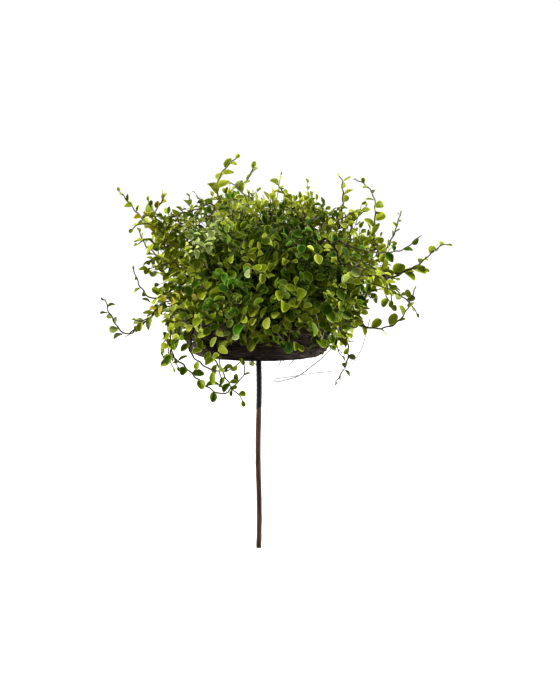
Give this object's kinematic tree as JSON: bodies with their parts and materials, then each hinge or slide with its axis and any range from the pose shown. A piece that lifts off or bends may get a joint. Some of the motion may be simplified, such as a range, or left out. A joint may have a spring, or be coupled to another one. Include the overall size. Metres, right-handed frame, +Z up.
{
  "type": "potted wire vine on a planting stake",
  "caption": "Bushy wire vine with small round leaves, mounding over and trailing from a shallow woven twig basket that is carried on a slim planting stake with a dark wrapped neck.",
  "frame": {"origin": "middle of the flat cut under the stake, where it meets the ground", "axes": "+Z up along the stake, +X to the viewer's right, -Y towards the viewer"},
  "size_m": [0.4189, 0.3328, 0.4738],
  "materials": {
    "stake_wood": "smooth brown bark",
    "wrap": "dark wound tape, dull",
    "basket_twig": "dark woven twigs, dull",
    "fill": "loose fibrous peat",
    "stem": "thin wiry brown stems",
    "leaf": "small smooth leaves, satin"
  },
  "bodies": {
    "root": {"stake": "stake_wood", "stake_wrap": "wrap", "basket": "basket_twig", "fill": "fill", "stem_top_1": "stem", "stem_crown_1": "stem", "stem_crown_2": "stem", "stem_crown_3": "stem", "stem_crown_4": "stem", "stem_crown_5": "stem", "stem_side_1": "stem", "stem_side_2": "stem", "stem_side_3": "stem", "stem_side_4": "stem", "stem_side_5": "stem", "stem_side_6": "stem", "stem_side_7": "stem", "stem_trail_1": "stem", "stem_trail_2": "stem", "stem_trail_3": "stem", "stem_trail_4": "stem", "stem_trail_5": "stem", "stem_trail_6": "stem", "stem_trail_7": "stem", "stem_trail_8": "stem", "stem_trail_9": "stem", "foliage_top_1": "leaf", "foliage_crown_1": "leaf", "foliage_crown_2": "leaf", "foliage_crown_3": "leaf", "foliage_crown_4": "leaf", "foliage_crown_5": "leaf", "foliage_side_1": "leaf", "foliage_side_2": "leaf", "foliage_side_3": "leaf", "foliage_side_4": "leaf", "foliage_side_5": "leaf", "foliage_side_6": "leaf", "foliage_side_7": "leaf", "foliage_trail_1": "leaf", "foliage_trail_2": "leaf", "foliage_trail_3": "leaf", "foliage_trail_4": "leaf", "foliage_trail_5": "leaf", "foliage_trail_6": "leaf", "foliage_trail_7": "leaf", "foliage_trail_8": "leaf", "foliage_trail_9": "leaf"}
  },
  "joints": []
}
